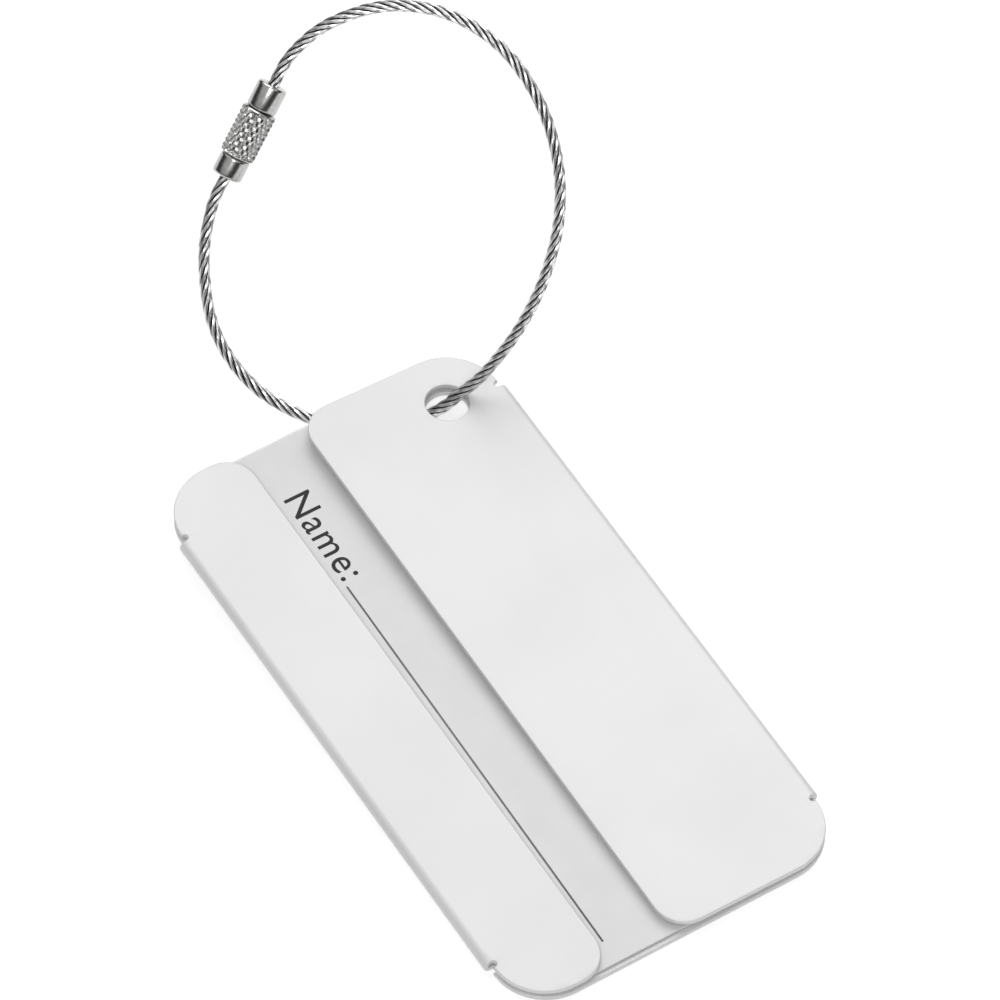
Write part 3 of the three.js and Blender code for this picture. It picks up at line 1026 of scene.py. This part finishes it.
@dataclass
class Holder:
    """One aluminium sheet, folded over the front along both long sides.

    It is drawn in a flat strip (s, y): s equals x on the back, each fold takes a width of its own,
    and each flap runs on from its fold towards its free edge.
    """

    length: float = 85.0
    width: float = 46.0
    sheet: float = 0.7
    pocket: float = 0.6
    wide_flap: float = 25.2
    narrow_flap: float = 12.8
    corner_r: float = 7.0
    corner_inset: float = 0.8
    free_corner_r: float = 4.0
    relief_at: float = 7.4
    relief_w: float = 0.8
    wide_lean: tuple[float, float] = (0.9, 3.0)
    narrow_lean: tuple[float, float] = (1.4, 1.4)
    hole_d: float = 5.4
    hole_from_side: float = 7.9
    hole_from_top: float = 6.9
    edge_radius: float = 0.16
    fold_room: float = 6.0

    @property
    def mid_r(self) -> float:
        """Radius of the sheet's middle surface round a fold."""
        return (self.sheet + self.pocket) / 2

    @property
    def axis_z(self) -> float:
        """Height of the folds' axes."""
        return self.sheet + self.pocket / 2

    @property
    def fold_x(self) -> float:
        """Distance of each fold's axis from the tag's middle."""
        return self.width / 2 - self.axis_z

    def side(self, flap: float) -> Array:
        """Right half of the strip's outline, anticlockwise from the bottom edge's middle to the top's.

        Args:
            flap: the flap's width from the fold's outside to its free edge.

        Returns:
            N x 2 array in the strip's coordinates.
        """
        low, high = self.relief_at - self.relief_w / 2, self.relief_at + self.relief_w / 2
        fx, far, r = self.fold_x, self.fold_x + self.fold_room, self.corner_r
        tip = self.width / 2 - self.corner_inset
        reach = float(np.degrees(np.arcsin((low - r) / r)))
        nick = arc(fx, self.relief_at, self.relief_w / 2, 270, 90, 8)
        near = np.vstack([arc(tip - r, r, r, -90, reach, 14), nick])
        across = near[::-1] * [-1, 1] + [2 * fx + self.fold_room, 0]
        edge = far + flap - self.axis_z
        free = arc(edge - self.free_corner_r, self.free_corner_r, self.free_corner_r, -90, 0, 10)
        fold = line((fx, high), (far, high), self.fold_room / 16)
        bottom = line(tuple(across[-1]), tuple(free[0]), 2.0)
        lower = np.vstack([line((0, 0), tuple(near[0]), 2.0), near, fold, across, bottom, free])
        rise = line(tuple(free[-1]), (edge, self.length - self.free_corner_r), 2.0)
        upper = lower.copy()[::-1]
        upper[:, 1] = self.length - upper[:, 1]
        return np.vstack([lower, rise, upper])

    def map(self, points: Array, height: float) -> Array:
        """Folds the strip.

        On the back a point is (s, y, middle). Round a fold it is at the angle pi k about the fold's
        axis, where k runs from 0 to 1 across the fold's room. On a flap it lies flat over the back,
        and every point then turns about the fold's axis by its share of the lean.

        Args:
            points: N x 2 strip points.
            height: distance off the middle surface, upwards on the flaps and down on the back.

        Returns:
            N x 3 points in mm.
        """
        s, y = points[:, 0], points[:, 1]
        sign = np.where(s < 0, -1.0, 1.0)
        a = np.abs(s)
        fx, room = self.fold_x, self.fold_room
        tongue = (y < self.relief_at) | (y > self.length - self.relief_at)
        k = np.clip((a - fx) / room, 0, 1)
        k = np.where(tongue, np.where(a > fx + room / 2, 1.0, 0.0), k)
        r = self.mid_r + height
        flat_x = np.where(k < 0.5, a - fx, fx + room - a)
        straight = (k == 0) | (k == 1)
        x = np.where(straight, flat_x, r * np.sin(np.pi * k))
        z = np.where(straight, np.where(k == 1, r, -r), -r * np.cos(np.pi * k))
        low = np.where(s < 0, self.narrow_lean[0], self.wide_lean[0])
        top = np.where(s < 0, self.narrow_lean[1], self.wide_lean[1])
        turn = -np.radians(low + (top - low) * y / self.length) * k
        c, n = np.cos(turn), np.sin(turn)
        return np.stack([sign * (fx + x * c - z * n), y, self.axis_z + x * n + z * c], -1)

    def build(self) -> bpy.types.Object:
        """Makes the folded sheet as one plate mapped through the folds.

        Returns:
            The holder's object.
        """
        right = self.side(self.wide_flap)
        left = self.side(self.narrow_flap)[::-1] * [-1, 1]
        outline = np.vstack([right, [[0.0, self.length]], left, [[0.0, 0.0]]])
        ring = arc(0, 0, self.hole_d / 2, 360, 0, 48)[:-1]
        hx = self.width / 2 - self.hole_from_side
        hy = self.length - self.hole_from_top
        over = 2 * self.fold_x + self.fold_room - hx
        holes = [ring + [hx, hy], ring + [over, hy]]
        fx, far = self.fold_x, self.fold_x + self.fold_room
        wide, narrow = far + self.wide_flap, far + self.narrow_flap
        bend = np.linspace(fx, far, 17)
        x = np.concatenate([
            np.arange(-narrow, -far - 1, 2.5), -bend[::-1], np.arange(-fx + 2.2, fx - 1, 2.5), bend,
            np.arange(far + 2.2, wide, 2.5),
        ])
        interior = lattice(x, np.arange(1.1, self.length, 2.3), stagger=False)
        shell = Shell()
        Plate(outline, holes, self.sheet, self.edge_radius, interior).build(shell, self.map)
        obj = shell.piece("folded_sheet", PLACE.tag)
        obj.data.materials.append(SatinAluminium().make())
        keep = obj.modifiers.new("even_normals", "WEIGHTED_NORMAL")
        keep.mode = "FACE_AREA"
        keep.weight = 60
        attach(obj, "holder")
        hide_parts("holder_sheet")
        log.info("%s: %d vertices", obj.name, len(obj.data.vertices))
        return obj


# ---- Name card -----------------------------------------------------------------------------------


@dataclass
class NameCard:
    """Paper card with a printed heading and writing lines."""

    length: float = 85.0
    side: float = 21.6
    end_gap: float = 0.6
    corner_r: float = 6.4
    notch_r: float = 2.0
    thickness: float = 0.3
    low: float = 0.85
    notch_x: float = 11.4
    notch_y: float = 74.4
    heading: str = "Name:"
    heading_at: tuple[float, float] = (-8.9, 76.9)
    letter_size: float = 5.0
    letter_space: float = 1.1
    letter_weight: float = 0.012
    lines: tuple[tuple[float, float, float, float], ...] = (
        (-8.84, 61.9, -9.31, 3.8), (0.2, 70.0, -0.1, 3.8), (9.2, 70.0, 8.9, 3.8),
    )
    line_width: float = 0.26
    ink: float = 0.012

    def outline(self) -> Array:
        """Anticlockwise outline, with the corner beside the hole cut away."""
        r, s, low, top = self.corner_r, self.side, self.end_gap, self.length - self.end_gap
        return np.vstack([
            arc(s - r, low + r, r, -90, 0, 8),
            line((s, low + r), (s, self.notch_y), 3.0), [[s, self.notch_y]],
            arc(self.notch_x + self.notch_r, self.notch_y + self.notch_r, self.notch_r, 270, 180, 8),
            [[self.notch_x, top]],
            line((self.notch_x, top), (-s + r, top), 3.0),
            arc(-s + r, top - r, r, 90, 180, 8),
            line((-s, top - r), (-s, low + r), 3.0),
            arc(-s + r, low + r, r, 180, 270, 8),
            line((-s + r, low), (s - r, low), 3.0),
        ])

    def map(self, points: Array, height: float) -> Array:
        """The card lies flat: (x, y, middle + height)."""
        z = self.low + self.thickness / 2 + height
        return np.column_stack([points, np.full(len(points), z)])

    def strip(self, shell: Shell, ends: tuple[float, float, float, float]) -> None:
        """Adds one printed line as a thin bar on the card's face.

        Args:
            shell: takes the bar.
            ends: x and y of its upper end, then of its lower end.
        """
        z = self.low + self.thickness
        x1, y1, x0, y0 = ends
        w = self.line_width / 2
        flat = np.array([[x0 - w, y0], [x0 + w, y0], [x1 + w, y1], [x1 - w, y1]])
        low = np.column_stack([flat, np.full(4, z)])
        high = np.column_stack([flat, np.full(4, z + self.ink)])
        walls = np.array([[0, 1, 5, 4], [1, 2, 6, 5], [2, 3, 7, 6], [3, 0, 4, 7]])
        shell.add(np.vstack([low, high]), walls, np.array([[3, 2, 1, 0], [4, 5, 6, 7]]))

    def letters(self) -> bpy.types.Object:
        """Sets the heading in type along the card, reading down from the hole end."""
        data = bpy.data.curves.new("heading", "FONT")
        data.body = self.heading
        data.size = self.letter_size
        data.extrude = self.ink / 2
        data.offset = self.letter_weight
        data.space_character = self.letter_space
        data.resolution_u = 6
        source = bpy.data.objects.new("heading_source", data)
        bpy.context.scene.collection.objects.link(source)
        bpy.context.view_layer.update()
        mesh = bpy.data.meshes.new_from_object(source)
        bpy.data.objects.remove(source)
        count = len(mesh.vertices)
        flat = np.zeros(count * 3)
        mesh.vertices.foreach_get("co", flat)
        flat = flat.reshape(-1, 3)
        z = self.low + self.thickness + self.ink / 2
        placed = np.stack([
            self.heading_at[0] + flat[:, 1], self.heading_at[1] - flat[:, 0], flat[:, 2] + z
        ], -1)
        mesh.vertices.foreach_set("co", PLACE.tag(placed).ravel())
        mesh.update()
        obj = bpy.data.objects.new("card_heading", mesh)
        bpy.context.scene.collection.objects.link(obj)
        return obj

    def build(self) -> None:
        """Makes the card, its heading and its writing lines, and puts them on the card's body."""
        shell = Shell()
        interior = lattice(np.arange(-21, 21.1, 3.0), np.arange(2.0, 84, 3.0), stagger=True)
        Plate(self.outline(), [], self.thickness, 0.05, interior, 2).build(shell, self.map)
        card = shell.piece("paper_card", PLACE.tag)
        card.data.materials.append(CardPaper().make())
        keep = card.modifiers.new("even_normals", "WEIGHTED_NORMAL")
        keep.weight = 60
        black = PrintInk().make()
        grey = PrintInk("line_ink", (0.16, 0.16, 0.165), (0.25, 0.25, 0.255)).make()
        bars = Shell()
        for ends in self.lines:
            self.strip(bars, ends)
        lines = bars.piece("card_lines", PLACE.tag)
        lines.data.materials.append(grey)
        heading = self.letters()
        heading.data.materials.append(black)
        for obj in (card, lines, heading):
            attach(obj, "card")
            log.info("%s: %d vertices", obj.name, len(obj.data.vertices))
        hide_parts("name_card")


# ---- Main ----------------------------------------------------------------------------------------


def main() -> None:
    logging.basicConfig(level=logging.INFO, format="%(name)s: %(message)s")
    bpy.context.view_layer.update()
    studio = Studio()
    studio.camera()
    WireLoop().build()
    Holder().build()
    NameCard().build()
    studio.floor()
    studio.lights()


if __name__ == "__main__":
    main()
